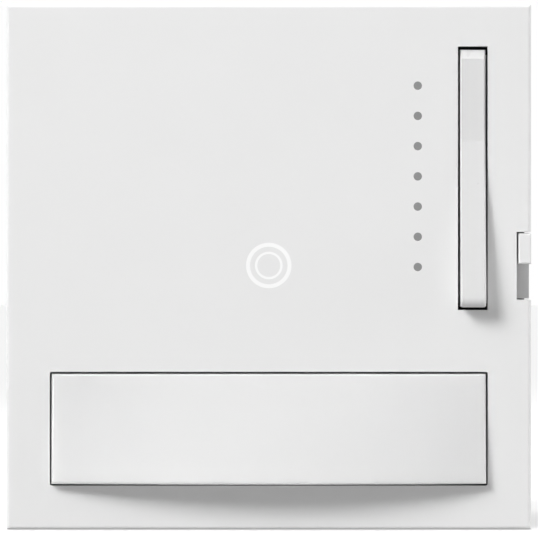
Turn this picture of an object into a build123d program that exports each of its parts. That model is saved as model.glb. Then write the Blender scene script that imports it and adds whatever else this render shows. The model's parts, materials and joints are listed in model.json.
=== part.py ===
from build123d import *
import math
import os

# Snap-in wall dimmer with a motion sensor, in millimetres.
#
# The wall is the plane Y = 0, where the flange of the front frame seats. X runs to the right, Z up
# and the room lies toward -Y. A height is a distance from the wall toward the room, so Y = -height,
# and a negative height lies inside the wall.

os.makedirs("parts", exist_ok=True)

# ---------------------------------------------------------------- driving dimensions

# Face cover: a square tap plate, one module wide.
FACE = 45.0
FACE_H = 8.5
SKIN = 1.8
COVER_WALL = 1.4
SKIRT_H = 2.6
COVER_EDGE = 0.3
COVER_INSIDE = FACE - 2 * COVER_WALL
SKIN_BACK_H = FACE_H - SKIN

# Cover hinge, a little below the top edge.
HINGE_Z = 18.1
HINGE_H = 4.2
HINGE_PIN_R = 0.8
HINGE_HOLE_R = 0.85
HINGE_EAR_X = (6.5, 8.0)
HINGE_LUG_X = (8.25, 9.75)
HINGE_EAR_L = 2.4

# Ring target in the middle of the face.
RING_Z = 0.13
RING_DEPTH = 0.5
OUTER_RING = (1.61, 1.95)
INNER_RING = (0.985, 1.185)
GUIDE_R = 2.6
GUIDE_H = (4.4, 7.5)

# Level lights: seven pins of one light pipe, a tenth of an inch apart.
LEVEL_COUNT = 7
LEVEL_PITCH = 2.59
LEVEL_X = 12.77
LEVEL_PIN_R = 0.36
LEVEL_MID_Z = LEVEL_PITCH * (LEVEL_COUNT - 1) / 2

# Dimmer bar: a rocker in a narrow slot, flush above and rising to its lower end.
BAR_X = 17.49
BAR_Z = 7.6
SLOT_W = 2.56
SLOT_Z = (-3.69, 18.91)
BAR_W = 2.16
BAR_ENDS = (-3.45, 18.63)
BAR_RISE = 2.05
BAR_RISE_Z = 10.8
BAR_BEVEL_L = 0.78
BAR_BEVEL_T = 0.35
BAR_NOSE_R = 0.75
BAR_SIDE_EDGE = 0.12
ROCKER_PIVOT_H = 4.8
ROCKER_PIN_R = 0.8
ROCKER_HOLE_R = 0.84
ROCKER_BASE_W = 4.4
ROCKER_BASE_H = (3.4, 4.2)
ROCKER_RIB_Z = 6.0
ROCKER_RIB_R = 0.4
ROCKER_LUG_X = (14.0, 15.1)
ROCKER_LUG_L = 4.0

# Sensor window and its bulging lens.
WINDOW_W = 37.54
WINDOW_L = 9.75
WINDOW_Z = -13.86
WINDOW_CORNER = 0.2
LENS_W = 37.2
LENS_L = 9.4
LENS_END_H = 8.6
LENS_END_RISE = 0.7
LENS_BULGE = 2.1
LENS_WALL = 0.9
LENS_FACETS = 13
LENS_FOOT = 0.6
LENS_LEG_W = 2.4
LENS_LEG_T = 0.8
LENS_EDGE = 0.2
LENS_LEG_END_H = -1.0

# Air-gap tab at the right edge, which slides down.
TAB_X = (21.4, FACE / 2)
TAB_Z = (0.26, 2.87)
NOTCH_X = 21.25
NOTCH_Z = (-2.81, 3.02)
TAB_BACK_H = 6.2
ARM_H = (5.2, 6.2)
NECK_X = (20.0, 21.0)
BRIDGE_H = (1.75, 2.9)
LEG_X = (18.3, 19.3)
LEG_END_H = -6.0
GUIDE_LEDGE_H = 5.05

# Front frame: flange, deck, a fence inside the cover and a collar behind the wall.
FLANGE = 44.4
FLANGE_CORNER = 0.5
FLANGE_EDGE = 0.25
DECK_H = 1.6
DECK_BACK_H = 0.2
FENCE_OUT = 41.4
FENCE_T = 0.8
FENCE_H = 5.0
COLLAR_W = 41.4
COLLAR_L = 41.0
BODY_WALL = 1.2
SPLIT_H = -10.0
BACK_H = -34.0
BODY_CORNER = 1.5
BODY_BACK_EDGE = 1.0
SPLIT_EDGE = 0.2

# Circuit boards.
BOARD_T = 1.6
CONTROL_FRONT_H = -2.4
CONTROL_BACK_H = CONTROL_FRONT_H - BOARD_T
CONTROL_SIDE = 36.2
POWER_FRONT_H = -14.0
POWER_BACK_H = POWER_FRONT_H - BOARD_T
POWER_SIDE = 37.0
BOARD_CORNER = 15.1

# Press switches on the control board.
SWITCH_PLUNGE = 1.0
TAP_SWITCH_Z = -4.2
TAP_FOOT_R = 1.0
TAP_SWITCH_SIDE = 4.5
TAP_SWITCH_T = 2.0
TAP_GAP = 0.02
STEP_SWITCH_X = 16.6
STEP_SWITCH_SIDE = 3.0
STEP_SWITCH_T = 1.4

# Setting dials behind the cover.
DIAL_X = -13.0
TIME_DIAL_Z = 12.0
SENSITIVITY_DIAL_Z = 4.0
DIAL_R = 2.2
DIAL_BASE_SIDE = 6.0
DIAL_BASE_T = 1.8

# Motion sensor.
CAN_R = 4.1
CAN_T = 4.0
CAN_RIM_R = 4.6

# Corner posts and the long screws that close the body.
POST_X = 17.45
POST_Z = 17.25
POST_SIDE = 4.1
CASE_SCREW_R = 1.0
CASE_SCREW_HEAD_R = 1.7
CROSS_SLOT = (2.4, 0.5)

# Terminal bays in the sides of the rear housing.
BAY_W = 8.2
BAY_PITCH = 10.0
BAY_H = (-31.6, -21.0)
BAY_FLOOR_X = 13.5
BAY_SHELL = 0.9
BAY_RIM = 0.4
WIRE_R = 1.25
WIRE_FUNNEL = 0.5
WIRE_X = 16.0
WIRE_OFFSET_Z = 2.6
LEFT_BAYS = (BAY_PITCH, 0.0, -BAY_PITCH)
RIGHT_BAYS = (BAY_PITCH, -BAY_PITCH)
GROUND_BAY_Z = 0.0

# Latch springs on the top and bottom of the body.
CLIP_W = 12.0
CLIP_T = 0.6
CLIP_PIVOT_H = -12.6
CLIP_PIVOT_Z = 20.3
CLIP_CURL_R = 0.7
CLIP_TIP_H = -2.6
CLIP_WINDOW_H = (-9.6, -6.0)

# Heat sink along the top wall, with the power switch fixed under it.
SINK_W = 30.0
SINK_Z = (18.0, 19.2)
SINK_H = (-31.0, -16.4)
SINK_SCREW_H = -28.6

# Cooling slots in the back.
VENT_COUNT = 4
VENT_PITCH = 5.0
VENT_TOP_Z = 8.0
VENT_W = 18.0
VENT_T = 1.2


# ---------------------------------------------------------------- shared shapes

def block(x_span, h_span, z_span, mode=Mode.ADD):
    """Box between two X, two heights and two Z."""
    (x0, x1), (h0, h1), (z0, z1) = x_span, h_span, z_span
    with Locations(((x0 + x1) / 2, -(h0 + h1) / 2, (z0 + z1) / 2)):
        Box(x1 - x0, h1 - h0, z1 - z0, mode=mode)


def square_block(side_x, h_span, side_z, mode=Mode.ADD):
    """Box centred on the face's middle."""
    block((-side_x / 2, side_x / 2), h_span, (-side_z / 2, side_z / 2), mode)


def rounded_block(side_x, h_span, side_z, corner_r, mode=Mode.ADD):
    """Box centred on the face's middle, with the corners that run into the wall rounded."""
    with BuildSketch(Plane.XZ.offset(h_span[1])) as outline:
        RectangleRounded(side_x, side_z, corner_r)
    extrude(outline.sketch, amount=h_span[0] - h_span[1], mode=mode)


def post(x, z, radius, h_span, mode=Mode.ADD):
    """Round bar that stands square to the wall."""
    with Locations((x, -(h_span[0] + h_span[1]) / 2, z)):
        Cylinder(radius, h_span[1] - h_span[0], rotation=(90, 0, 0), mode=mode)


def cross_pin(x_span, h, z, radius, mode=Mode.ADD):
    """Round bar that lies left to right."""
    with Locations(((x_span[0] + x_span[1]) / 2, -h, z)):
        Cylinder(radius, x_span[1] - x_span[0], rotation=(0, 90, 0), mode=mode)


def upright_pin(x, h, z_span, radius, mode=Mode.ADD):
    """Round bar that stands upright."""
    with Locations((x, -h, (z_span[0] + z_span[1]) / 2)):
        Cylinder(radius, z_span[1] - z_span[0], mode=mode)


def around(middle, size):
    """Span of a given size about a middle."""
    return (middle - size / 2, middle + size / 2)


def both_ways(near, far):
    """Span from near to far on the right, and its mirror on the left."""
    return ((near, far), (-far, -near))


LEVEL_ZS = [LEVEL_PITCH * step for step in range(LEVEL_COUNT)]
STEP_SWITCHES = {"raise": BAR_Z + ROCKER_RIB_Z, "lower": BAR_Z - ROCKER_RIB_Z}
CORNERS = [(sx, sz) for sx in (-1, 1) for sz in (-1, 1)]
BAYS = [(-1, z) for z in LEFT_BAYS] + [(1, z) for z in RIGHT_BAYS]
STANDOFFS = [(-8.0, 8.6), (-16.0, -3.0), (8.6, 12.0)]

# ---------------------------------------------------------------- face cover and what rides on it

with BuildPart() as face_cover:
    square_block(FACE, (SKIRT_H, FACE_H), FACE)
    fillet(face_cover.faces().sort_by(Axis.Y)[0].edges(), COVER_EDGE)
    square_block(COVER_INSIDE, (SKIRT_H, SKIN_BACK_H), COVER_INSIDE, Mode.SUBTRACT)
    # Window for the lens and slot for the dimmer bar.
    with BuildSketch(Plane.XZ.offset(FACE_H)):
        with Locations((0, WINDOW_Z)):
            RectangleRounded(WINDOW_W, WINDOW_L, WINDOW_CORNER)
    extrude(amount=-SKIN, mode=Mode.SUBTRACT)
    block(around(BAR_X, SLOT_W), (SKIN_BACK_H, FACE_H), SLOT_Z, Mode.SUBTRACT)
    # Notch for the air-gap tab: through the skin, and wider behind it to clear the tab's arm.
    block((NOTCH_X, FACE / 2), (SKIN_BACK_H, FACE_H), NOTCH_Z, Mode.SUBTRACT)
    block((COVER_INSIDE / 2, FACE / 2), (SKIRT_H, SKIN_BACK_H), NOTCH_Z, Mode.SUBTRACT)
    # Holes for the level lights, grooves for the rings, and a seat for the ring's light guide.
    for z in LEVEL_ZS:
        post(LEVEL_X, z, LEVEL_PIN_R, (SKIN_BACK_H, FACE_H), Mode.SUBTRACT)
    with BuildSketch(Plane.XZ.offset(FACE_H)):
        for inner, outer in (OUTER_RING, INNER_RING):
            with Locations((0, RING_Z)):
                Circle(outer)
                Circle(inner, mode=Mode.SUBTRACT)
    extrude(amount=-RING_DEPTH, mode=Mode.SUBTRACT)
    post(0, RING_Z, GUIDE_R, (SKIN_BACK_H, GUIDE_H[1]), Mode.SUBTRACT)
    # Foot that presses the tap switch.
    tap_top_h = CONTROL_FRONT_H + TAP_SWITCH_T + SWITCH_PLUNGE
    post(0, TAP_SWITCH_Z, TAP_FOOT_R, (tap_top_h + TAP_GAP, SKIN_BACK_H))
    # Hinge ears with their pins.
    for ear_x, pin_x in zip(both_ways(*HINGE_EAR_X), both_ways(HINGE_EAR_X[1], HINGE_LUG_X[1] - 0.15)):
        block(ear_x, (HINGE_H - 1.3, SKIN_BACK_H), around(HINGE_Z, HINGE_EAR_L))
        cross_pin(pin_x, HINGE_H, HINGE_Z, HINGE_PIN_R)
face_cover.part.label = "face_cover"
export_step(face_cover.part, "parts/face_cover.step")

with BuildPart() as ring_inlay_outer:
    with BuildSketch(Plane.XZ.offset(FACE_H)):
        with Locations((0, RING_Z)):
            Circle(OUTER_RING[1])
            Circle(OUTER_RING[0], mode=Mode.SUBTRACT)
    extrude(amount=-RING_DEPTH)
ring_inlay_outer.part.label = "ring_inlay_outer"
export_step(ring_inlay_outer.part, "parts/ring_inlay_outer.step")

with BuildPart() as ring_inlay_inner:
    with BuildSketch(Plane.XZ.offset(FACE_H)):
        with Locations((0, RING_Z)):
            Circle(INNER_RING[1])
            Circle(INNER_RING[0], mode=Mode.SUBTRACT)
    extrude(amount=-RING_DEPTH)
ring_inlay_inner.part.label = "ring_inlay_inner"
export_step(ring_inlay_inner.part, "parts/ring_inlay_inner.step")

# Clear puck behind the rings.
with BuildPart() as ring_light_guide:
    post(0, RING_Z, GUIDE_R, GUIDE_H)
    chamfer(ring_light_guide.faces().sort_by(Axis.Y)[-1].edges(), 0.6)
ring_light_guide.part.label = "ring_light_guide"
export_step(ring_light_guide.part, "parts/ring_light_guide.step")

# One clear moulding: a rail behind the skin, a pin through it for each light, and a leg to each LED.
PIPE_RAIL_H = (5.2, SKIN_BACK_H)
PIPE_LEG_END_H = -0.9
with BuildPart() as level_light_pipe:
    block(around(LEVEL_X, 1.8), PIPE_RAIL_H, around(LEVEL_MID_Z, LEVEL_PITCH * LEVEL_COUNT))
    for z in LEVEL_ZS:
        post(LEVEL_X, z, LEVEL_PIN_R, (PIPE_RAIL_H[1], FACE_H))
        post(LEVEL_X, z, 0.6, (PIPE_LEG_END_H, PIPE_RAIL_H[0]))
level_light_pipe.part.label = "level_light_pipe"
export_step(level_light_pipe.part, "parts/level_light_pipe.step")

# ---------------------------------------------------------------- dimmer rocker

with BuildPart() as dimmer_rocker:
    # Bar, drawn from the side: square behind, flush at the top, rising to a rounded lower end.
    bottom_z, top_z = BAR_ENDS
    nose_h = FACE_H + BAR_RISE
    with BuildSketch(Plane.YZ.offset(BAR_X - BAR_W / 2)) as side_view:
        with BuildLine():
            Polyline(
                (-ROCKER_BASE_H[0], bottom_z),
                (-nose_h, bottom_z),
                (-FACE_H, BAR_RISE_Z),
                (-FACE_H, top_z - BAR_BEVEL_L),
                (-FACE_H + BAR_BEVEL_T, top_z),
                (-ROCKER_BASE_H[0], top_z),
                close=True,
            )
        make_face()
        fillet(side_view.vertices().sort_by(Axis.X)[0], BAR_NOSE_R)
    extrude(amount=BAR_W)
    front_edges = dimmer_rocker.edges().filter_by(lambda edge: edge.center().Y < -FACE_H + BAR_BEVEL_T)
    chamfer(front_edges.filter_by(lambda edge: abs(edge.center().X - BAR_X) > BAR_W / 4), BAR_SIDE_EDGE)
    # Wider base under the skin, the pivot pin, and a rib over each step switch.
    block(around(BAR_X, ROCKER_BASE_W), ROCKER_BASE_H, (bottom_z + 0.3, top_z - 0.3))
    cross_pin(around(BAR_X, 6.2), ROCKER_PIVOT_H, BAR_Z, ROCKER_PIN_R)
    step_top_h = CONTROL_FRONT_H + STEP_SWITCH_T + SWITCH_PLUNGE
    for z in STEP_SWITCHES.values():
        post(STEP_SWITCH_X, z, ROCKER_RIB_R, (step_top_h + TAP_GAP, ROCKER_BASE_H[0]))
dimmer_rocker.part.label = "dimmer_rocker"
export_step(dimmer_rocker.part, "parts/dimmer_rocker.step")

# ---------------------------------------------------------------- air-gap slide

with BuildPart() as airgap_slider:
    block(TAB_X, (TAB_BACK_H, FACE_H), TAB_Z)
    outer_edges = airgap_slider.faces().sort_by(Axis.Y)[0].edges()
    fillet(outer_edges, 0.15)
    block((NECK_X[0], TAB_X[1]), ARM_H, TAB_Z)
    block(NECK_X, (BRIDGE_H[0], ARM_H[1]), TAB_Z)
    block((LEG_X[0], NECK_X[1]), BRIDGE_H, TAB_Z)
    block(LEG_X, (LEG_END_H, BRIDGE_H[1]), TAB_Z)
airgap_slider.part.label = "airgap_slider"
export_step(airgap_slider.part, "parts/airgap_slider.step")

# Bronze bridge on the slider's leg, and the two blades that it joins while the tab is up.
BRIDGE_CONTACT_X = (15.6, LEG_X[0])
BRIDGE_CONTACT_H = (-5.9, -5.5)
BLADE_XS = (16.0, 17.6)
with BuildPart() as airgap_bridge:
    block(BRIDGE_CONTACT_X, BRIDGE_CONTACT_H, around(sum(TAB_Z) / 2, 2.0))
airgap_bridge.part.label = "airgap_bridge"
export_step(airgap_bridge.part, "parts/airgap_bridge.step")

with BuildPart() as airgap_blades:
    for x in BLADE_XS:
        block(around(x, 0.5), (POWER_FRONT_H, BRIDGE_CONTACT_H[0] - 0.02), around(sum(TAB_Z) / 2, 1.8))
airgap_blades.part.label = "airgap_blades"
export_step(airgap_blades.part, "parts/airgap_blades.step")

# Grey ledge under the tab, seen in the notch below it.
with BuildPart() as airgap_ledge:
    block((NOTCH_X + 0.05, FACE / 2 - 0.05), (DECK_H, GUIDE_LEDGE_H), (NOTCH_Z[0] + 0.1, NOTCH_Z[1] - 0.1))
airgap_ledge.part.label = "airgap_ledge"
export_step(airgap_ledge.part, "parts/airgap_ledge.step")

# ---------------------------------------------------------------- sensor lens

LENS_BOTTOM = WINDOW_Z - LENS_L / 2
LENS_ARC_R = ((LENS_W / 2) ** 2 + LENS_BULGE ** 2) / (2 * LENS_BULGE)


def lens_front_h(x, above_bottom):
    """Height of the lens's front: an arc along its lower edge that flattens out at its upper edge."""
    arc_rise = math.sqrt(LENS_ARC_R ** 2 - x ** 2) - LENS_ARC_R + LENS_BULGE
    return LENS_END_H + (LENS_END_RISE + arc_rise) * (1 - above_bottom / LENS_L)


with BuildPart() as sensor_lens:
    half = LENS_W / 2
    low_end_h = LENS_END_H + LENS_END_RISE
    # Outer shape: level with the face along its upper edge, bulging along its lower one.
    with BuildSketch(Plane.XY.offset(LENS_BOTTOM)):
        with BuildLine():
            Polyline((-half, -low_end_h), (-half, -DECK_H), (half, -DECK_H), (half, -low_end_h))
            ThreePointArc((half, -low_end_h), (0, -low_end_h - LENS_BULGE), (-half, -low_end_h))
        make_face()
    with BuildSketch(Plane.XY.offset(LENS_BOTTOM + LENS_L)):
        with BuildLine():
            Polyline((-half, -LENS_END_H), (-half, -DECK_H), (half, -DECK_H), (half, -LENS_END_H), close=True)
        make_face()
    loft(ruled=True)
    fillet(sensor_lens.faces().sort_by(Axis.Y)[0].edges(), LENS_EDGE)
    # Foot that the deck carries.
    foot_x = around(0, LENS_W + 2 * LENS_FOOT)
    foot_z = around(WINDOW_Z, LENS_L + 2 * LENS_FOOT)
    block(foot_x, (DECK_H, DECK_H + LENS_FOOT), foot_z)
    # Hollow with a faceted front: each flat strip is one strip of the sensor's field of view.
    inner_half = half - LENS_WALL
    facet_xs = [inner_half * (2 * step / LENS_FACETS - 1) for step in range(LENS_FACETS + 1)]
    for above_bottom in (LENS_WALL, LENS_L - LENS_WALL):
        front_points = [(x, LENS_WALL - lens_front_h(x, above_bottom)) for x in facet_xs]
        with BuildSketch(Plane.XY.offset(LENS_BOTTOM + above_bottom)):
            with BuildLine():
                Polyline((-inner_half, -DECK_H), *front_points, (inner_half, -DECK_H), close=True)
            make_face()
    loft(ruled=True, mode=Mode.SUBTRACT)
    # Snap legs through the deck.
    for sign in (-1, 1):
        leg_x = around(sign * inner_half, LENS_LEG_T)
        barb_x = sorted((leg_x[0] if sign > 0 else leg_x[1], sign * (inner_half - LENS_LEG_T)))
        block(leg_x, (LENS_LEG_END_H, DECK_H + LENS_FOOT), around(WINDOW_Z, LENS_LEG_W))
        block(barb_x, (LENS_LEG_END_H, -0.1), around(WINDOW_Z, LENS_LEG_W))
sensor_lens.part.label = "sensor_lens"
export_step(sensor_lens.part, "parts/sensor_lens.step")

# ---------------------------------------------------------------- front frame

with BuildPart() as front_frame:
    # Flange and deck in one plate, the fence on its front and the collar behind it.
    # The deck's back is set in a little, so that only the flange's rim seats.
    rounded_block(FLANGE, (0, DECK_H), FLANGE, FLANGE_CORNER)
    for rim in (front_frame.faces().sort_by(Axis.Y)[0], front_frame.faces().sort_by(Axis.Y)[-1]):
        chamfer(rim.edges(), FLANGE_EDGE)
    square_block(FENCE_OUT, (DECK_H, FENCE_H), FENCE_OUT)
    square_block(FENCE_OUT - 2 * FENCE_T, (DECK_H, FENCE_H), FENCE_OUT - 2 * FENCE_T, Mode.SUBTRACT)
    rounded_block(COLLAR_W, (SPLIT_H, 0), COLLAR_L, BODY_CORNER)
    collar_inside = (COLLAR_W - 2 * BODY_WALL, COLLAR_L - 2 * BODY_WALL)
    square_block(collar_inside[0], (SPLIT_H, DECK_BACK_H), collar_inside[1], Mode.SUBTRACT)
    # Corner posts take the case screws; short posts carry the control board.
    for sx, sz in CORNERS:
        block(around(sx * POST_X, POST_SIDE), (SPLIT_H, DECK_BACK_H), around(sz * POST_Z, POST_SIDE))
        post(sx * POST_X, sz * POST_Z, CASE_SCREW_R, (SPLIT_H, -1.0), Mode.SUBTRACT)
    for x, z in STANDOFFS:
        post(x, z, 1.6, (CONTROL_FRONT_H, DECK_BACK_H))
        post(x, z, 0.8, (CONTROL_FRONT_H, 1.0), Mode.SUBTRACT)
    # Lugs for the cover's hinge pins.
    for lug_x in both_ways(*HINGE_LUG_X):
        block(lug_x, (DECK_H, HINGE_H + 1.4), (HINGE_Z - 1.5, FENCE_OUT / 2 - FENCE_T))
        cross_pin(lug_x, HINGE_H, HINGE_Z, HINGE_HOLE_R, Mode.SUBTRACT)
    # Lugs for the rocker's pivot: one on the deck and one built up on the fence.
    fence_x = (FENCE_OUT / 2 - FENCE_T, FENCE_OUT / 2)
    for lug_x in (ROCKER_LUG_X, fence_x):
        block(lug_x, (DECK_H, ROCKER_PIVOT_H + 1.3), around(BAR_Z, ROCKER_LUG_L))
        cross_pin(lug_x, ROCKER_PIVOT_H, BAR_Z, ROCKER_HOLE_R, Mode.SUBTRACT)
    # Openings in the deck: the sensor's view, the lens legs, and the lights.
    block(around(0, 30.0), (0, DECK_H), around(WINDOW_Z, 7.6), Mode.SUBTRACT)
    post(0, WINDOW_Z, CAN_RIM_R + 0.4, (0, DECK_H), Mode.SUBTRACT)
    for leg_x in both_ways(LENS_W / 2 - LENS_WALL - 0.9, LENS_W / 2 - LENS_WALL + 0.5):
        block(leg_x, (0, DECK_H), around(WINDOW_Z, LENS_LEG_W + 0.2), Mode.SUBTRACT)
    block(around(LEVEL_X, 2.2), (0, DECK_H), around(LEVEL_MID_Z, LEVEL_PITCH * LEVEL_COUNT), Mode.SUBTRACT)
    post(0, RING_Z, 1.8, (0, DECK_H), Mode.SUBTRACT)
    # Openings for what is pressed or turned through the deck.
    post(0, TAP_SWITCH_Z, 1.6, (0, DECK_H), Mode.SUBTRACT)
    for z in STEP_SWITCHES.values():
        post(STEP_SWITCH_X, z, 1.2, (0, DECK_H), Mode.SUBTRACT)
    for z in (TIME_DIAL_Z, SENSITIVITY_DIAL_Z):
        post(DIAL_X, z, DIAL_R + 0.3, (0, DECK_H), Mode.SUBTRACT)
    # Way for the air-gap slider: a slot in the deck and a gap in the fence.
    block((LEG_X[0] - 0.1, LEG_X[1] + 0.1), (0, DECK_H), (NOTCH_Z[0] - 0.1, NOTCH_Z[1]), Mode.SUBTRACT)
    block(fence_x, (DECK_H, FENCE_H), (NOTCH_Z[0] - 0.1, NOTCH_Z[1] + 0.1), Mode.SUBTRACT)
    # Windows behind the latch springs.
    for sign in (-1, 1):
        latch_z = sorted((sign * (COLLAR_L / 2 - BODY_WALL), sign * COLLAR_L / 2))
        block(around(0, CLIP_W + 0.8), (SPLIT_H, -2.0), latch_z, Mode.SUBTRACT)
front_frame.part.label = "front_frame"
export_step(front_frame.part, "parts/front_frame.step")

# ---------------------------------------------------------------- control board and its parts


def board(side, front_h):
    """Square circuit board with its corners cut out for the case screws' posts."""
    square_block(side, (front_h - BOARD_T, front_h), side)
    for corner_x in both_ways(BOARD_CORNER, side / 2):
        for corner_z in both_ways(BOARD_CORNER, side / 2):
            block(corner_x, (front_h - BOARD_T, front_h), corner_z, Mode.SUBTRACT)


with BuildPart() as control_board:
    board(CONTROL_SIDE, CONTROL_FRONT_H)
    for x, z in STANDOFFS:
        post(x, z, 0.9, (CONTROL_BACK_H, CONTROL_FRONT_H), Mode.SUBTRACT)
control_board.part.label = "control_board"
export_step(control_board.part, "parts/control_board.step")

with BuildPart() as board_screws:
    for x, z in STANDOFFS:
        post(x, z, 1.4, (CONTROL_BACK_H - 1.0, CONTROL_BACK_H))
        post(x, z, 0.75, (CONTROL_BACK_H, 0.6))
        block(around(x, 2.0), (CONTROL_BACK_H - 1.0, CONTROL_BACK_H - 0.6), around(z, 0.4), Mode.SUBTRACT)
board_screws.part.label = "board_screws"
export_step(board_screws.part, "parts/board_screws.step")

# Motion sensor: a metal can with a rim, and a filter pane let into its front.
CAN_FRONT_H = CONTROL_FRONT_H + CAN_T
PANE = (4.0, 3.0)
PANE_T = 0.4
with BuildPart() as sensor_can:
    post(0, WINDOW_Z, CAN_R, (CONTROL_FRONT_H, CAN_FRONT_H))
    fillet(sensor_can.faces().sort_by(Axis.Y)[0].edges(), 0.4)
    post(0, WINDOW_Z, CAN_RIM_R, (CONTROL_FRONT_H, CONTROL_FRONT_H + 0.5))
    block(around(0, PANE[0]), (CAN_FRONT_H - PANE_T, CAN_FRONT_H), around(WINDOW_Z, PANE[1]), Mode.SUBTRACT)
sensor_can.part.label = "sensor_can"
export_step(sensor_can.part, "parts/sensor_can.step")

with BuildPart() as sensor_pane:
    block(around(0, PANE[0]), (CAN_FRONT_H - PANE_T, CAN_FRONT_H - 0.1), around(WINDOW_Z, PANE[1]))
sensor_pane.part.label = "sensor_pane"
export_step(sensor_pane.part, "parts/sensor_pane.step")

with BuildPart() as photocell:
    block(around(9.0, 2.0), (CONTROL_FRONT_H, CONTROL_FRONT_H + 0.9), around(WINDOW_Z, 1.6))
photocell.part.label = "photocell"
export_step(photocell.part, "parts/photocell.step")

LED = (0.8, 0.6, 1.6)
with BuildPart() as level_leds:
    for z in LEVEL_ZS:
        block(around(LEVEL_X, LED[0]), (CONTROL_FRONT_H, CONTROL_FRONT_H + LED[1]), around(z, LED[2]))
level_leds.part.label = "level_leds"
export_step(level_leds.part, "parts/level_leds.step")

with BuildPart() as ring_led:
    block(around(0, LED[2]), (CONTROL_FRONT_H, CONTROL_FRONT_H + LED[1]), around(RING_Z, LED[0]))
ring_led.part.label = "ring_led"
export_step(ring_led.part, "parts/ring_led.step")

with BuildPart() as microcontroller:
    block(around(-2.0, 7.0), (CONTROL_BACK_H - 0.9, CONTROL_BACK_H), around(8.0, 7.0))
    chamfer(microcontroller.edges().filter_by(Axis.Y), 0.3)
microcontroller.part.label = "microcontroller"
export_step(microcontroller.part, "parts/microcontroller.step")


def switch_body(x, z, side, thick, plunger_r):
    """Square press switch with a well for its plunger."""
    block(around(x, side), (CONTROL_FRONT_H, CONTROL_FRONT_H + thick), around(z, side))
    post(x, z, plunger_r + 0.05, (CONTROL_FRONT_H + 0.4, CONTROL_FRONT_H + thick), Mode.SUBTRACT)


def plunger(x, z, thick, radius):
    """Round plunger, standing clear of its well's floor by more than its travel."""
    post(x, z, radius, (CONTROL_FRONT_H + 0.9, CONTROL_FRONT_H + thick + SWITCH_PLUNGE))


TAP_PLUNGER_R = 1.2
STEP_PLUNGER_R = 0.8

with BuildPart() as tap_switch_body:
    switch_body(0, TAP_SWITCH_Z, TAP_SWITCH_SIDE, TAP_SWITCH_T, TAP_PLUNGER_R)
tap_switch_body.part.label = "tap_switch_body"
export_step(tap_switch_body.part, "parts/tap_switch_body.step")

with BuildPart() as tap_plunger:
    plunger(0, TAP_SWITCH_Z, TAP_SWITCH_T, TAP_PLUNGER_R)
tap_plunger.part.label = "tap_plunger"
export_step(tap_plunger.part, "parts/tap_plunger.step")

for step_name, step_z in STEP_SWITCHES.items():
    with BuildPart() as step_switch_body:
        switch_body(STEP_SWITCH_X, step_z, STEP_SWITCH_SIDE, STEP_SWITCH_T, STEP_PLUNGER_R)
    step_switch_body.part.label = f"{step_name}_switch_body"
    export_step(step_switch_body.part, f"parts/{step_name}_switch_body.step")

    with BuildPart() as step_plunger:
        plunger(STEP_SWITCH_X, step_z, STEP_SWITCH_T, STEP_PLUNGER_R)
    step_plunger.part.label = f"{step_name}_plunger"
    export_step(step_plunger.part, f"parts/{step_name}_plunger.step")

DIAL_STUB_R = 1.0
DIAL_BACK_H = CONTROL_FRONT_H + DIAL_BASE_T + 0.1
DIAL_FRONT_H = 2.6
for dial_name, dial_z in (("time", TIME_DIAL_Z), ("sensitivity", SENSITIVITY_DIAL_Z)):
    with BuildPart() as dial_base:
        block(
            around(DIAL_X, DIAL_BASE_SIDE),
            (CONTROL_FRONT_H, CONTROL_FRONT_H + DIAL_BASE_T),
            around(dial_z, DIAL_BASE_SIDE),
        )
        post(DIAL_X, dial_z, DIAL_STUB_R + 0.05, (CONTROL_FRONT_H + 0.5, 0), Mode.SUBTRACT)
    dial_base.part.label = f"{dial_name}_dial_base"
    export_step(dial_base.part, f"parts/{dial_name}_dial_base.step")

    with BuildPart() as dial:
        post(DIAL_X, dial_z, DIAL_R, (DIAL_BACK_H, DIAL_FRONT_H))
        chamfer(dial.faces().sort_by(Axis.Y)[0].edges(), 0.25)
        post(DIAL_X, dial_z, DIAL_STUB_R, (CONTROL_FRONT_H + 0.6, DIAL_BACK_H))
        # Screwdriver slot with a pointer notch at its upper end.
        block(around(DIAL_X, 0.6), (DIAL_FRONT_H - 0.9, DIAL_FRONT_H), around(dial_z, 3.4), Mode.SUBTRACT)
        block(around(DIAL_X, 1.4), (DIAL_FRONT_H - 0.9, DIAL_FRONT_H), around(dial_z + 1.2, 0.7), Mode.SUBTRACT)
    dial.part.label = f"{dial_name}_dial"
    export_step(dial.part, f"parts/{dial_name}_dial.step")

# ---------------------------------------------------------------- power board and its parts

# Two-row pin header between the boards.
PIN_PITCH = 2.0
PIN_SIDE = 0.5
HEADER_MID = (-4.0, 15.0)
HEADER_SIZE = (5 * PIN_PITCH, 2 * PIN_PITCH)
SOCKET_END_H = CONTROL_BACK_H - 4.5
PIN_END_H = SOCKET_END_H + 3.0
HEADER_PINS = [
    (HEADER_MID[0] + PIN_PITCH * column, HEADER_MID[1] + PIN_PITCH * row)
    for column in range(-2, 3)
    for row in (-0.5, 0.5)
]
HEADER_X = around(HEADER_MID[0], HEADER_SIZE[0])
HEADER_Z = around(HEADER_MID[1], HEADER_SIZE[1])

with BuildPart() as power_board:
    board(POWER_SIDE, POWER_FRONT_H)
power_board.part.label = "power_board"
export_step(power_board.part, "parts/power_board.step")

with BuildPart() as board_header:
    block(HEADER_X, (POWER_FRONT_H, POWER_FRONT_H + 2.0), HEADER_Z)
    for x, z in HEADER_PINS:
        block(around(x, PIN_SIDE), (POWER_FRONT_H + 2.0, PIN_END_H), around(z, PIN_SIDE))
board_header.part.label = "board_header"
export_step(board_header.part, "parts/board_header.step")

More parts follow.
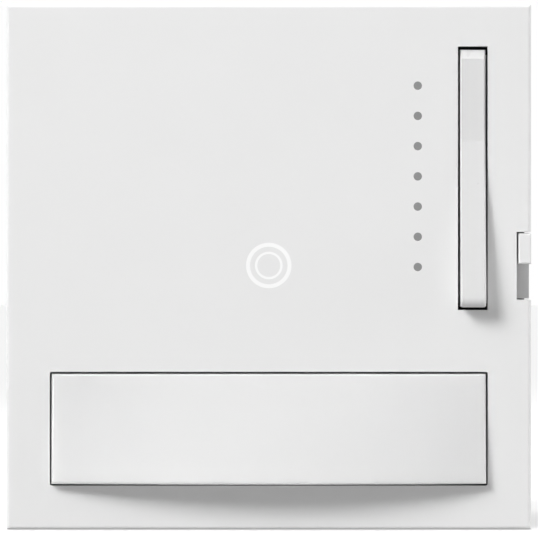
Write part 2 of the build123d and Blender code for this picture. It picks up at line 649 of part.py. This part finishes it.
with BuildPart() as board_socket:
    block(HEADER_X, (SOCKET_END_H, CONTROL_BACK_H), HEADER_Z)
    for x, z in HEADER_PINS:
        block(around(x, PIN_SIDE), (SOCKET_END_H, PIN_END_H + 0.2), around(z, PIN_SIDE), Mode.SUBTRACT)
board_socket.part.label = "board_socket"
export_step(board_socket.part, "parts/board_socket.step")

# Power switch: a flat transistor package, insulated from and screwed to the heat sink.
POWER_SWITCH_W = 10.2
POWER_SWITCH_TAB_Z = (16.5, 17.8)
POWER_SWITCH_BODY_Z = (13.3, POWER_SWITCH_TAB_Z[0])
POWER_SWITCH_BODY_H = (-25.6, SINK_H[1])
LEAD_PITCH = 2.54
PAD_Z = (POWER_SWITCH_TAB_Z[1], SINK_Z[0])
with BuildPart() as power_switch:
    block(around(0, POWER_SWITCH_W), SINK_H, POWER_SWITCH_TAB_Z)
    block(around(0, POWER_SWITCH_W), POWER_SWITCH_BODY_H, POWER_SWITCH_BODY_Z)
    for x in (-LEAD_PITCH, 0, LEAD_PITCH):
        block(around(x, 0.8), (SINK_H[1], POWER_BACK_H), (15.0, 15.5))
    upright_pin(0, SINK_SCREW_H, POWER_SWITCH_TAB_Z, 1.8, Mode.SUBTRACT)
power_switch.part.label = "power_switch"
export_step(power_switch.part, "parts/power_switch.step")

with BuildPart() as insulating_pad:
    block(around(0, POWER_SWITCH_W + 1.8), SINK_H, PAD_Z)
    upright_pin(0, SINK_SCREW_H, PAD_Z, 1.8, Mode.SUBTRACT)
insulating_pad.part.label = "insulating_pad"
export_step(insulating_pad.part, "parts/insulating_pad.step")

with BuildPart() as heat_sink:
    block(around(0, SINK_W), SINK_H, SINK_Z)
    upright_pin(0, SINK_SCREW_H, SINK_Z, 1.4, Mode.SUBTRACT)
heat_sink.part.label = "heat_sink"
export_step(heat_sink.part, "parts/heat_sink.step")

with BuildPart() as heat_sink_screw:
    head_z = (POWER_SWITCH_TAB_Z[0] - 1.6, POWER_SWITCH_TAB_Z[0])
    upright_pin(0, SINK_SCREW_H, (head_z[1], SINK_Z[1]), 1.35)
    upright_pin(0, SINK_SCREW_H, head_z, 2.6)
    block(around(0, 4.0), around(SINK_SCREW_H, 0.6), (head_z[0], head_z[0] + 0.7), Mode.SUBTRACT)
heat_sink_screw.part.label = "heat_sink_screw"
export_step(heat_sink_screw.part, "parts/heat_sink_screw.step")

# Filter choke: a ring core with its winding round most of it.
CHOKE_Z = -10.0
CHOKE_R = 5.2
CHOKE_CORE_SECTION = (3.0, 4.0)
CHOKE_MID_H = POWER_BACK_H - 4.5
with BuildPart() as choke_core:
    with BuildSketch(Plane.XZ.offset(CHOKE_MID_H + CHOKE_CORE_SECTION[1] / 2)):
        with Locations((0, CHOKE_Z)):
            Circle(CHOKE_R + CHOKE_CORE_SECTION[0] / 2)
            Circle(CHOKE_R - CHOKE_CORE_SECTION[0] / 2, mode=Mode.SUBTRACT)
    extrude(amount=-CHOKE_CORE_SECTION[1])
choke_core.part.label = "choke_core"
export_step(choke_core.part, "parts/choke_core.step")

# Each turn of the winding is a square frame of wire round the core.
TURN_COUNT = 14
TURN_WIRE = 0.8
with BuildPart() as choke_winding:
    turn_w = CHOKE_CORE_SECTION[0] + 2 * TURN_WIRE
    turn_t = CHOKE_CORE_SECTION[1] + 2 * TURN_WIRE
    for turn in range(TURN_COUNT):
        angle = 30 + turn * 300 / (TURN_COUNT - 1) - 90
        middle = Vector(0, -CHOKE_MID_H, CHOKE_Z)
        outward = Vector(math.cos(math.radians(angle)), 0, math.sin(math.radians(angle)))
        around_core = Vector(-outward.Z, 0, outward.X)
        turn_plane = Plane(middle + outward * CHOKE_R, x_dir=outward, z_dir=around_core)
        with BuildSketch(turn_plane):
            Rectangle(turn_w, turn_t)
            Rectangle(CHOKE_CORE_SECTION[0] + 0.08, CHOKE_CORE_SECTION[1], mode=Mode.SUBTRACT)
        extrude(amount=TURN_WIRE / 2, both=True)
choke_winding.part.label = "choke_winding"
export_step(choke_winding.part, "parts/choke_winding.step")

FILM_W = 18.0
FILM_DEPTH = 11.0
FILM_Z = (0.2, 6.2)
with BuildPart() as film_capacitor:
    block(around(0, FILM_W), (POWER_BACK_H - FILM_DEPTH, POWER_BACK_H), FILM_Z)
    fillet(film_capacitor.faces().sort_by(Axis.Y)[-1].edges(), 0.5)
film_capacitor.part.label = "film_capacitor"
export_step(film_capacitor.part, "parts/film_capacitor.step")

ELECTROLYTIC_X = 15.2
ELECTROLYTIC_R = 3.4
ELECTROLYTIC_L = 11.5
with BuildPart() as electrolytic_capacitor:
    post(ELECTROLYTIC_X, 0, ELECTROLYTIC_R, (POWER_BACK_H - ELECTROLYTIC_L, POWER_BACK_H))
    fillet(electrolytic_capacitor.faces().sort_by(Axis.Y)[-1].edges(), 0.4)
electrolytic_capacitor.part.label = "electrolytic_capacitor"
export_step(electrolytic_capacitor.part, "parts/electrolytic_capacitor.step")

# Surge absorber: a disc on edge, on two leads.
SURGE_X = -5.0
SURGE_Z = (7.4, 10.4)
SURGE_R = 3.6
SURGE_LEAD = 0.6
with BuildPart() as surge_absorber:
    upright_pin(SURGE_X, POWER_BACK_H - 4.0, SURGE_Z, SURGE_R)
    fillet(surge_absorber.edges().filter_by(GeomType.CIRCLE), 0.8)
    for x in (SURGE_X - 2.0, SURGE_X + 2.0):
        lead_z = around(sum(SURGE_Z) / 2, SURGE_LEAD)
        block(around(x, SURGE_LEAD), (POWER_BACK_H - 1.6, POWER_BACK_H), lead_z)
surge_absorber.part.label = "surge_absorber"
export_step(surge_absorber.part, "parts/surge_absorber.step")

# Fuse between two end caps, along the front of the power board.
FUSE_X = -14.0
FUSE_H = POWER_FRONT_H + 2.4
FUSE_Z = (-9.0, 5.0)
FUSE_R = 1.6
FUSE_CAP_L = 1.5
with BuildPart() as fuse:
    upright_pin(FUSE_X, FUSE_H, FUSE_Z, FUSE_R)
fuse.part.label = "fuse"
export_step(fuse.part, "parts/fuse.step")

with BuildPart() as fuse_clips:
    for clip_z in ((FUSE_Z[0] - FUSE_CAP_L, FUSE_Z[0]), (FUSE_Z[1], FUSE_Z[1] + FUSE_CAP_L)):
        block(around(FUSE_X, 4.0), (POWER_FRONT_H, FUSE_H + FUSE_R), clip_z)
fuse_clips.part.label = "fuse_clips"
export_step(fuse_clips.part, "parts/fuse_clips.step")

with BuildPart() as rectifier:
    block(around(-2.0, 6.4), (POWER_FRONT_H, POWER_FRONT_H + 2.4), around(-12.0, 5.0))
    chamfer(rectifier.edges().filter_by(Axis.Z), 0.3)
rectifier.part.label = "rectifier"
export_step(rectifier.part, "parts/rectifier.step")

# ---------------------------------------------------------------- rear housing and terminals


def bay_x(side, near, far):
    """X span of something in a bay, measured outward on its own side of the body."""
    return tuple(sorted((side * near, side * far)))


def wire_z(bay_z):
    """Height of a bay's wire hole: to the lower side of its screw."""
    return bay_z - WIRE_OFFSET_Z


with BuildPart() as rear_housing:
    rounded_block(COLLAR_W, (BACK_H, SPLIT_H), COLLAR_L, BODY_CORNER)
    fillet(rear_housing.faces().sort_by(Axis.Y)[-1].edges(), BODY_BACK_EDGE)
    chamfer(rear_housing.faces().sort_by(Axis.Y)[0].edges(), SPLIT_EDGE)
    inside_w = COLLAR_W - 2 * BODY_WALL
    inside_l = COLLAR_L - 2 * BODY_WALL
    square_block(inside_w, (BACK_H + BODY_WALL + 0.4, SPLIT_H), inside_l, Mode.SUBTRACT)
    # Walls round each bay, then the bay itself, open to the side, and its wire hole from behind.
    for side, z in BAYS:
        shell_x = bay_x(side, BAY_FLOOR_X - BAY_SHELL, COLLAR_W / 2 - 0.5)
        block(shell_x, (BAY_H[0] - 1.0, BAY_H[1] + BAY_SHELL), around(z, BAY_W + 2 * BAY_SHELL))
    for side, z in BAYS:
        block(bay_x(side, BAY_FLOOR_X, COLLAR_W / 2), BAY_H, around(z, BAY_W), Mode.SUBTRACT)
        rim_h = (BAY_H[0] - BAY_RIM, BAY_H[1] + BAY_RIM)
        rim_x = bay_x(side, COLLAR_W / 2 - BAY_RIM, COLLAR_W / 2)
        block(rim_x, rim_h, around(z, BAY_W + 2 * BAY_RIM), Mode.SUBTRACT)
        post(side * WIRE_X, wire_z(z), WIRE_R, (BACK_H, BAY_H[0]), Mode.SUBTRACT)
        with Locations((side * WIRE_X, -BACK_H - WIRE_FUNNEL / 2, wire_z(z))):
            Cone(WIRE_R + WIRE_FUNNEL, WIRE_R, WIRE_FUNNEL, rotation=(90, 0, 0), mode=Mode.SUBTRACT)
    # Corner posts with counterbored screw holes.
    for sx, sz in CORNERS:
        block(around(sx * POST_X, POST_SIDE), (BACK_H + 1.0, SPLIT_H), around(sz * POST_Z, POST_SIDE))
        post(sx * POST_X, sz * POST_Z, CASE_SCREW_R + 0.15, (BACK_H, SPLIT_H), Mode.SUBTRACT)
        post(sx * POST_X, sz * POST_Z, CASE_SCREW_HEAD_R + 0.15, (BACK_H, BACK_H + 1.8), Mode.SUBTRACT)
    # Windows and pivot grooves for the latch springs.
    for sign in (-1, 1):
        latch_z = sorted((sign * (COLLAR_L / 2 - BODY_WALL), sign * COLLAR_L / 2))
        latch_x = around(0, CLIP_W + 0.8)
        block(latch_x, (CLIP_PIVOT_H + CLIP_CURL_R, SPLIT_H), latch_z, Mode.SUBTRACT)
        cross_pin(latch_x, CLIP_PIVOT_H, sign * CLIP_PIVOT_Z, CLIP_CURL_R + 0.05, Mode.SUBTRACT)
    # Cooling slots in the back.
    for row in range(VENT_COUNT):
        vent_z = around(VENT_TOP_Z - row * VENT_PITCH, VENT_T)
        block(around(0, VENT_W), (BACK_H, BACK_H + 2.0), vent_z, Mode.SUBTRACT)
rear_housing.part.label = "rear_housing"
export_step(rear_housing.part, "parts/rear_housing.step")

with BuildPart() as case_screws:
    for sx, sz in CORNERS:
        post(sx * POST_X, sz * POST_Z, CASE_SCREW_R, (BACK_H + 1.6, -3.0))
        post(sx * POST_X, sz * POST_Z, CASE_SCREW_HEAD_R, (BACK_H + 0.2, BACK_H + 1.6))
        for slot in (CROSS_SLOT, CROSS_SLOT[::-1]):
            slot_x = around(sx * POST_X, slot[0])
            slot_z = around(sz * POST_Z, slot[1])
            block(slot_x, (BACK_H + 0.2, BACK_H + 0.8), slot_z, Mode.SUBTRACT)
case_screws.part.label = "case_screws"
export_step(case_screws.part, "parts/case_screws.step")

# Terminals: a fixed plate on the bay's floor, a clamp plate in front of it and a screw through both.
PLATE_X = (BAY_FLOOR_X, BAY_FLOOR_X + 1.2)
CLAMP_X = (17.3, 18.2)
SCREW_HEAD_X = (18.2, 20.2)
BAY_MID_H = sum(BAY_H) / 2
TERMINAL_SHANK_R = 1.3
TERMINAL_HEAD_R = 3.1
TERMINAL_HEAD_EDGE = 0.4
LIVE_BAYS = [(side, z) for side, z in BAYS if not (side < 0 and z == GROUND_BAY_Z)]
GROUND_BAYS = [(-1, GROUND_BAY_Z)]


def terminal_screw(side, z):
    """Slotted and crossed screw that lies left to right in its bay."""
    cross_pin(bay_x(side, PLATE_X[0], SCREW_HEAD_X[0]), BAY_MID_H, z, TERMINAL_SHANK_R)
    cross_pin(bay_x(side, SCREW_HEAD_X[0], SCREW_HEAD_X[1] - TERMINAL_HEAD_EDGE), BAY_MID_H, z, TERMINAL_HEAD_R)
    with Locations((side * (SCREW_HEAD_X[1] - TERMINAL_HEAD_EDGE / 2), -BAY_MID_H, z)):
        top_r = TERMINAL_HEAD_R - TERMINAL_HEAD_EDGE
        Cone(TERMINAL_HEAD_R, top_r, TERMINAL_HEAD_EDGE, rotation=(0, 90 * side, 0))
    slot_x = bay_x(side, SCREW_HEAD_X[1] - 0.9, SCREW_HEAD_X[1])
    block(slot_x, around(BAY_MID_H, 2 * TERMINAL_HEAD_R), around(z, 0.9), Mode.SUBTRACT)
    block(slot_x, around(BAY_MID_H, 0.9), around(z, TERMINAL_HEAD_R), Mode.SUBTRACT)


with BuildPart() as terminal_plates:
    for side, z in BAYS:
        block(bay_x(side, *PLATE_X), (BAY_H[0] + 0.4, BAY_H[1] - 0.4), around(z, BAY_W - 0.4))
        cross_pin(bay_x(side, *PLATE_X), BAY_MID_H, z, TERMINAL_SHANK_R, Mode.SUBTRACT)
terminal_plates.part.label = "terminal_plates"
export_step(terminal_plates.part, "parts/terminal_plates.step")

with BuildPart() as wire_clamps:
    for side, z in BAYS:
        block(bay_x(side, *CLAMP_X), around(BAY_MID_H, 7.0), around(z, BAY_W - 0.6))
        cross_pin(bay_x(side, *CLAMP_X), BAY_MID_H, z, TERMINAL_SHANK_R, Mode.SUBTRACT)
wire_clamps.part.label = "wire_clamps"
export_step(wire_clamps.part, "parts/wire_clamps.step")

with BuildPart() as terminal_screws:
    for side, z in LIVE_BAYS:
        terminal_screw(side, z)
terminal_screws.part.label = "terminal_screws"
export_step(terminal_screws.part, "parts/terminal_screws.step")

with BuildPart() as ground_screw:
    for side, z in GROUND_BAYS:
        terminal_screw(side, z)
ground_screw.part.label = "ground_screw"
export_step(ground_screw.part, "parts/ground_screw.step")

# ---------------------------------------------------------------- latch springs

# Drawn from the side for the top of the body: a curl round the pivot, an arm that leans outward
# toward the flange, and a barb that hooks behind the edge of the opening.
CLIP_ARM_Z = (20.75, 21.3)
CLIP_BARB_Z = 22.2
for clip_name, sign in (("upper_clip", 1), ("lower_clip", -1)):
    with BuildPart() as clip:
        with BuildSketch(Plane.YZ.offset(-CLIP_W / 2)):
            with BuildLine():
                Polyline(
                    (-CLIP_PIVOT_H, sign * CLIP_PIVOT_Z),
                    (-CLIP_PIVOT_H - 1.4, sign * CLIP_ARM_Z[0]),
                    (-CLIP_TIP_H, sign * CLIP_ARM_Z[1]),
                    (-CLIP_TIP_H, sign * CLIP_BARB_Z),
                    (-CLIP_TIP_H + 2.4, sign * (CLIP_ARM_Z[1] + CLIP_T - 0.15)),
                    (-CLIP_PIVOT_H - 1.0, sign * (CLIP_ARM_Z[0] + CLIP_T)),
                    (-CLIP_PIVOT_H, sign * (CLIP_PIVOT_Z + CLIP_CURL_R)),
                    close=True,
                )
            make_face()
        extrude(amount=CLIP_W)
        cross_pin(around(0, CLIP_W), CLIP_PIVOT_H, sign * CLIP_PIVOT_Z, CLIP_CURL_R)
        # Window punched through the arm.
        window_z = sorted((sign * COLLAR_L / 2, sign * (CLIP_BARB_Z + 0.1)))
        block(around(0, CLIP_W / 2), CLIP_WINDOW_H, window_z, Mode.SUBTRACT)
    clip.part.label = clip_name
    export_step(clip.part, f"parts/{clip_name}.step")
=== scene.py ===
"""Looks for the snap-in wall dimmer with a motion sensor.

Lengths are in metres, or in millimetres where the name says mm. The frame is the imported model's: the room
is toward -Y, +Z is up, and the flange seats on the wall at Y = 0.
"""
import json
import math

import bpy
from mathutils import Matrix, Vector


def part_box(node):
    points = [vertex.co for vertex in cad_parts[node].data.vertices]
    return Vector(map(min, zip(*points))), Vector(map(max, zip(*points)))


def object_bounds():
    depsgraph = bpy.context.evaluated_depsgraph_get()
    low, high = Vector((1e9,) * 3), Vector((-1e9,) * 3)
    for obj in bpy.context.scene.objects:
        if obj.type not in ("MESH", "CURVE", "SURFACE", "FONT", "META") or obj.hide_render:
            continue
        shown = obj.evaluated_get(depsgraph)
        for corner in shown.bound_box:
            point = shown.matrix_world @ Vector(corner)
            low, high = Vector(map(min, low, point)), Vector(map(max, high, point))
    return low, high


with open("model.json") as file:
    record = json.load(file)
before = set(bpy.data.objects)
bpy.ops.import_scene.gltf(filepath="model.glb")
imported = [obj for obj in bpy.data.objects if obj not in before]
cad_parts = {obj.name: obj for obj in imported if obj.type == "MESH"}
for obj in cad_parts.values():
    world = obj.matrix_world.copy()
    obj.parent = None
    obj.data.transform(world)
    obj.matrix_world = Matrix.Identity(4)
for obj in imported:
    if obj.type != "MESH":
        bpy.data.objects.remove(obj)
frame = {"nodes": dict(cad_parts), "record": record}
cad_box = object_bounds()

MM = 0.001
SCENE = bpy.context.scene
NODES = frame["nodes"]

# ---------------------------------------------------------------- material building blocks

# Noise mostly stays between these two values, so spread() stretches them to the range asked for.
NOISE_LOW = 0.3
NOISE_HIGH = 0.7
NOISE_ROUGHNESS = 0.55

# The Mix node repeats its socket names for each kind of data, so its colour sockets go by number.
MIX_SHARE = 0
MIX_FIRST = 6
MIX_SECOND = 7
MIX_COLOUR = 2

# Plastic: clouds in its colour, and patches where its roughness wanders by a share of itself.
PLASTIC_CLOUD_MM = 9.0
PLASTIC_PATCH_MM = 3.0
PLASTIC_WANDER = 0.03
PLASTIC_IOR = 1.5

# Metal: clouds of tarnish, and fine lines that are rubbed smoother or rougher.
METAL_CLOUD_MM = 2.5
METAL_TARNISH = 0.06
METAL_LINE_MM = 0.15
METAL_LINE_DEPTH_MM = 0.002
METAL_RUB_LOW = 0.8
METAL_RUB_HIGH = 1.25


class Graph:
    """A material with a Principled shader, and short ways to add nodes to it."""

    def __init__(self, name):
        self.material = bpy.data.materials.new(name)
        self.material.use_nodes = True
        self.nodes = self.material.node_tree.nodes
        self.links = self.material.node_tree.links
        self.shader = self.nodes["Principled BSDF"]

    def add(self, kind, inputs=None, **settings):
        """New node of a kind, with its settings made and its inputs fed."""
        node = self.nodes.new(kind)
        for key, value in settings.items():
            setattr(node, key, value)
        for key, value in (inputs or {}).items():
            self.feed(node, key, value)
        return node

    def feed(self, node, key, value):
        """Sets an input, or links another node's output to it."""
        if isinstance(value, bpy.types.NodeSocket):
            self.links.new(value, node.inputs[key])
        else:
            node.inputs[key].default_value = value

    def place(self):
        """Coordinates that stay with the object."""
        return self.add("ShaderNodeTexCoord").outputs["Object"]

    def noise(self, size_mm, detail=4.0, stretch=None):
        """Noise whose lumps are about size_mm across; stretch scales its X, Y and Z."""
        place = self.place()
        if stretch:
            mapping = self.add("ShaderNodeMapping", {"Vector": place, "Scale": stretch})
            place = mapping.outputs["Vector"]
        scale = 1 / (size_mm * MM)
        inputs = {"Vector": place, "Scale": scale, "Detail": detail, "Roughness": NOISE_ROUGHNESS}
        return self.add("ShaderNodeTexNoise", inputs).outputs["Fac"]

    def spread(self, value, low, high):
        """Noise moved to run from low to high."""
        taken = {"Value": value, "From Min": NOISE_LOW, "From Max": NOISE_HIGH}
        given = {"To Min": low, "To Max": high}
        return self.add("ShaderNodeMapRange", {**taken, **given}).outputs["Result"]

    def blend(self, share, first, second):
        """Colour from first to second, by share."""
        mix = self.add("ShaderNodeMix", data_type="RGBA")
        self.feed(mix, MIX_SHARE, share)
        self.feed(mix, MIX_FIRST, first)
        self.feed(mix, MIX_SECOND, second)
        return mix.outputs[MIX_COLOUR]

    def bump(self, height, depth_mm):
        """Surface direction of a relief that is depth_mm deep."""
        inputs = {"Height": height, "Distance": depth_mm * MM, "Strength": 1.0}
        return self.add("ShaderNodeBump", inputs).outputs["Normal"]

    def finish(self, **inputs):
        """The finished material, with the shader's inputs fed."""
        names = {"colour": "Base Color", "roughness": "Roughness", "normal": "Normal", "metal": "Metallic"}
        for key, value in inputs.items():
            self.feed(self.shader, names.get(key, key), value)
        return self.material


def grey(value):
    """Opaque grey."""
    return (value, value, value, 1.0)


def tint(colour, factor):
    """The colour made lighter or darker by a factor, and never above white."""
    return tuple(min(1.0, channel * factor) for channel in colour[:3]) + (1.0,)


def moulded(name, colour, roughness, mottle=0.006, grain_mm=0.12, grain_depth_mm=0.0015, milky_mm=0.0):
    """Moulded plastic: a faint mottle in its colour, a fine grain, and roughness that wanders a little.

    milky_mm is how far light soaks into it.
    """
    graph = Graph(name)
    cloud = graph.noise(PLASTIC_CLOUD_MM, detail=3.0)
    share = graph.spread(cloud, 0.0, 1.0)
    mottled = graph.blend(share, tint(colour, 1 - mottle), tint(colour, 1 + mottle))
    grain = graph.noise(grain_mm, detail=2.0)
    patches = graph.noise(PLASTIC_PATCH_MM)
    worn = graph.spread(patches, roughness * (1 - PLASTIC_WANDER), roughness * (1 + PLASTIC_WANDER))
    soaking = {
        "Subsurface Weight": 1.0 if milky_mm else 0.0,
        "Subsurface Scale": milky_mm * MM,
        "Subsurface Radius": (1.0, 1.0, 1.0),
    }
    relief = graph.bump(grain, grain_depth_mm)
    return graph.finish(colour=mottled, roughness=worn, normal=relief, IOR=PLASTIC_IOR, **soaking)


def metal(name, colour, roughness, brush=(1.0, 1.0, 1.0)):
    """Bare or plated metal: slight tarnish, and fine lines that run along the axes where brush is small."""
    graph = Graph(name)
    cloud = graph.spread(graph.noise(METAL_CLOUD_MM, detail=5.0), 0.0, 1.0)
    aged = graph.blend(cloud, tint(colour, 1 - METAL_TARNISH), tint(colour, 1 + METAL_TARNISH))
    lines = graph.noise(METAL_LINE_MM, detail=3.0, stretch=brush)
    rubbed = graph.spread(lines, roughness * METAL_RUB_LOW, roughness * METAL_RUB_HIGH)
    relief = graph.bump(lines, METAL_LINE_DEPTH_MM)
    return graph.finish(colour=aged, roughness=rubbed, normal=relief, metal=1.0)


# ---------------------------------------------------------------- the record's finishes

BAR_TONE = 0.73
LENS_TONE = 0.78
LENS_MILKY_MM = 1.5
CHARCOAL = (0.045, 0.047, 0.050, 1)
SPARKED = {"grain_mm": 0.45, "grain_depth_mm": 0.05}

FINISHES = {
    "face_plastic": moulded("face_plastic", grey(0.80), roughness=0.38),
    "bar_plastic": moulded("bar_plastic", grey(BAR_TONE), roughness=0.28),
    "lens_plastic": moulded("lens_plastic", grey(LENS_TONE), roughness=0.33, milky_mm=LENS_MILKY_MM),
    "ring_plastic": moulded("ring_plastic", grey(0.95), roughness=0.3),
    "light_guide": moulded("light_guide", grey(0.27), roughness=0.2),
    "tab_plastic": moulded("tab_plastic", grey(0.80), roughness=0.38),
    "ledge_plastic": moulded("ledge_plastic", grey(0.88), roughness=0.5),
    "frame_plastic": moulded("frame_plastic", CHARCOAL, roughness=0.5, mottle=0.02, **SPARKED),
    "housing_plastic": moulded("housing_plastic", CHARCOAL, roughness=0.55, mottle=0.03, **SPARKED),
    "spring_steel": metal("spring_steel", (0.56, 0.56, 0.57, 1), roughness=0.32, brush=(1, 0.05, 0.05)),
    "zinc_steel": metal("zinc_steel", (0.62, 0.63, 0.66, 1), roughness=0.3),
    "brass": metal("brass", (0.68, 0.50, 0.22, 1), roughness=0.3),
    "green_brass": metal("green_brass", (0.04, 0.30, 0.09, 1), roughness=0.36),
    "bronze": metal("bronze", (0.62, 0.36, 0.20, 1), roughness=0.3),
    "board": moulded("board", (0.015, 0.13, 0.045, 1), roughness=0.25),
    "black_plastic": moulded("black_plastic", grey(0.02), roughness=0.5),
    "can_steel": metal("can_steel", grey(0.6), roughness=0.25),
    "filter_pane": moulded("filter_pane", (0.02, 0.012, 0.016, 1), roughness=0.08),
    "led_body": moulded("led_body", (0.80, 0.77, 0.55, 1), roughness=0.3),
    "dial_plastic": moulded("dial_plastic", (0.75, 0.30, 0.03, 1), roughness=0.45),
    "ferrite": moulded("ferrite", (0.08, 0.14, 0.09, 1), roughness=0.4),
    "copper_wire": metal("copper_wire", (0.60, 0.22, 0.07, 1), roughness=0.22),
    "film_box": moulded("film_box", (0.60, 0.36, 0.02, 1), roughness=0.3),
    "can_aluminium": metal("can_aluminium", (0.66, 0.67, 0.69, 1), roughness=0.28),
    "surge_coating": moulded("surge_coating", (0.02, 0.07, 0.36, 1), roughness=0.25),
    "fuse_glass": moulded("fuse_glass", grey(0.6), roughness=0.08),
    "sink_aluminium": metal("sink_aluminium", (0.62, 0.62, 0.64, 1), roughness=0.4, brush=(0.05, 1, 0.05)),
    "pad_rubber": moulded("pad_rubber", (0.35, 0.39, 0.44, 1), roughness=0.7),
}

# Each node wears the finish that its entry in the record names.
for entry in frame["record"]["subparts"]:
    NODES[entry["node"]].data.materials.clear()
    NODES[entry["node"]].data.materials.append(FINISHES[entry["material_slot"]])

# ---------------------------------------------------------------- floor, light and camera

FACE_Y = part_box("face_cover")[0].y
FACE_MIDDLE = Vector((0, FACE_Y, 0))

# The camera looks straight at the face, which nearly fills its view. A long lens keeps the face flat.
VIEW_WIDTH = 46.11 * MM
VIEW_AIM = Vector((0.02 * MM, FACE_Y, 0))
CAMERA_LENS_MM = 400.0
CAMERA_NEAR = 0.01
CAMERA_FAR = 10.0

# The floor reaches this far each way, and glows a little, so that it looks as white as the tent.
FLOOR_REACH = 3.0
FLOOR_DROP = 0.1 * MM
FLOOR_TONE = 0.9
FLOOR_ROUGHNESS = 0.8
FLOOR_GLOW = 0.3

# A white tent: brighter above than below, brighter behind the part, and white where it is in view.
TENT_LOW = 0.20
TENT_HIGH = 0.50
TENT_BEHIND = 0.50
TENT_SEEN = 1.0

# Where the tent's two ramps start and end, as a ray's share along Z and along Y.
TENT_RISE = (-0.3, 0.9)
TENT_DEEPEN = (-0.1, 0.4)

# Key lamp, high on the left. It aims past the face's upper left corner, and its grid dims the far corner.
KEY_WAY = Vector((-1.2, -1.0, 1.4)).normalized()
KEY_DISTANCE = 0.50
KEY_SIZE = 0.34
KEY_POWER = 0.405
KEY_GRID = 40.0
KEY_AIM = Vector((-70 * MM, FACE_Y, 110 * MM))

# Reflector on the right, level with the face: it brightens the edges that turn that way.
FILL_WAY = Vector((1.0, -0.05, 0.1)).normalized()
FILL_DISTANCE = 0.40
FILL_SIZE = 0.30
FILL_POWER = 0.8

# Reflector below and a little in front: it lightens the lower edges and the shadows under bar and lens.
BOUNCE_WAY = Vector((0.1, -0.8, -1.0)).normalized()
BOUNCE_DISTANCE = 0.40
BOUNCE_SIZE = 0.25
BOUNCE_POWER = 0.22


def make_floor():
    """Plain pale floor just under the part. It meets the white tent and holds back no light."""
    z = cad_box[0].z - FLOOR_DROP
    mesh = bpy.data.meshes.new("floor")
    corners = [(x * FLOOR_REACH, y * FLOOR_REACH, z) for x, y in ((-1, -1), (1, -1), (1, 1), (-1, 1))]
    mesh.from_pydata(corners, [], [(0, 1, 2, 3)])
    floor = bpy.data.objects.new("floor", mesh)
    SCENE.collection.objects.link(floor)
    paint = Graph("floor_paint")
    glow = {"Emission Color": grey(1.0), "Emission Strength": FLOOR_GLOW}
    mesh.materials.append(paint.finish(colour=grey(FLOOR_TONE), roughness=FLOOR_ROUGHNESS, **glow))
    floor.visible_diffuse = False
    floor.visible_shadow = False


def panel(name, place, size, power, aim=FACE_MIDDLE, grid=180.0):
    """Square lamp turned to face aim, out of the camera's sight; its light keeps within the grid's angle."""
    lamp = bpy.data.lights.new(name, "AREA")
    lamp.energy = power
    lamp.size = size
    lamp.spread = math.radians(grid)
    holder = bpy.data.objects.new(name, lamp)
    SCENE.collection.objects.link(holder)
    holder.location = place
    holder.rotation_euler = (aim - place).to_track_quat("-Z", "Y").to_euler()
    holder.visible_camera = False


def make_world():
    """The white tent: its light on the part is the sum of two ramps, and the camera sees plain white."""
    world = bpy.data.worlds.new("tent")
    SCENE.world = world
    world.use_nodes = True
    nodes, links = world.node_tree.nodes, world.node_tree.links
    way = nodes.new("ShaderNodeSeparateXYZ")
    links.new(nodes.new("ShaderNodeTexCoord").outputs["Generated"], way.inputs[0])

    def ramp(axis, span, low, high):
        """Brightness from low to high, as the ray's share along the axis crosses the span."""
        step = nodes.new("ShaderNodeMapRange")
        step.interpolation_type = "SMOOTHSTEP"
        for key, value in {"From Min": span[0], "From Max": span[1], "To Min": low, "To Max": high}.items():
            step.inputs[key].default_value = value
        links.new(way.outputs[axis], step.inputs["Value"])
        return step.outputs["Result"]

    total = nodes.new("ShaderNodeMath")
    links.new(ramp("Z", TENT_RISE, TENT_LOW, TENT_HIGH), total.inputs[0])
    links.new(ramp("Y", TENT_DEEPEN, 0.0, TENT_BEHIND), total.inputs[1])
    given = nodes["Background"]
    given.inputs["Color"].default_value = grey(1.0)
    links.new(total.outputs[0], given.inputs["Strength"])
    seen = nodes.new("ShaderNodeBackground")
    seen.inputs["Color"].default_value = grey(1.0)
    seen.inputs["Strength"].default_value = TENT_SEEN
    mix = nodes.new("ShaderNodeMixShader")
    links.new(nodes.new("ShaderNodeLightPath").outputs["Is Camera Ray"], mix.inputs[0])
    links.new(given.outputs[0], mix.inputs[1])
    links.new(seen.outputs[0], mix.inputs[2])
    links.new(mix.outputs[0], nodes["World Output"].inputs["Surface"])


def make_camera():
    """Long lens that looks straight at the face and takes in VIEW_WIDTH at the face's plane."""
    lens = bpy.data.cameras.new("camera")
    lens.lens = CAMERA_LENS_MM
    lens.clip_start = CAMERA_NEAR
    lens.clip_end = CAMERA_FAR
    camera = bpy.data.objects.new("camera", lens)
    SCENE.collection.objects.link(camera)
    distance = VIEW_WIDTH * lens.lens / lens.sensor_width
    camera.location = VIEW_AIM - Vector((0, distance, 0))
    camera.rotation_euler = (math.radians(90), 0, 0)
    SCENE.camera = camera


make_floor()
make_world()
panel("key", KEY_WAY * KEY_DISTANCE, KEY_SIZE, KEY_POWER, KEY_AIM, KEY_GRID)
panel("fill", FILL_WAY * FILL_DISTANCE, FILL_SIZE, FILL_POWER)
panel("bounce", BOUNCE_WAY * BOUNCE_DISTANCE, BOUNCE_SIZE, BOUNCE_POWER)
make_camera()
SCENE.view_settings.view_transform = "Standard"
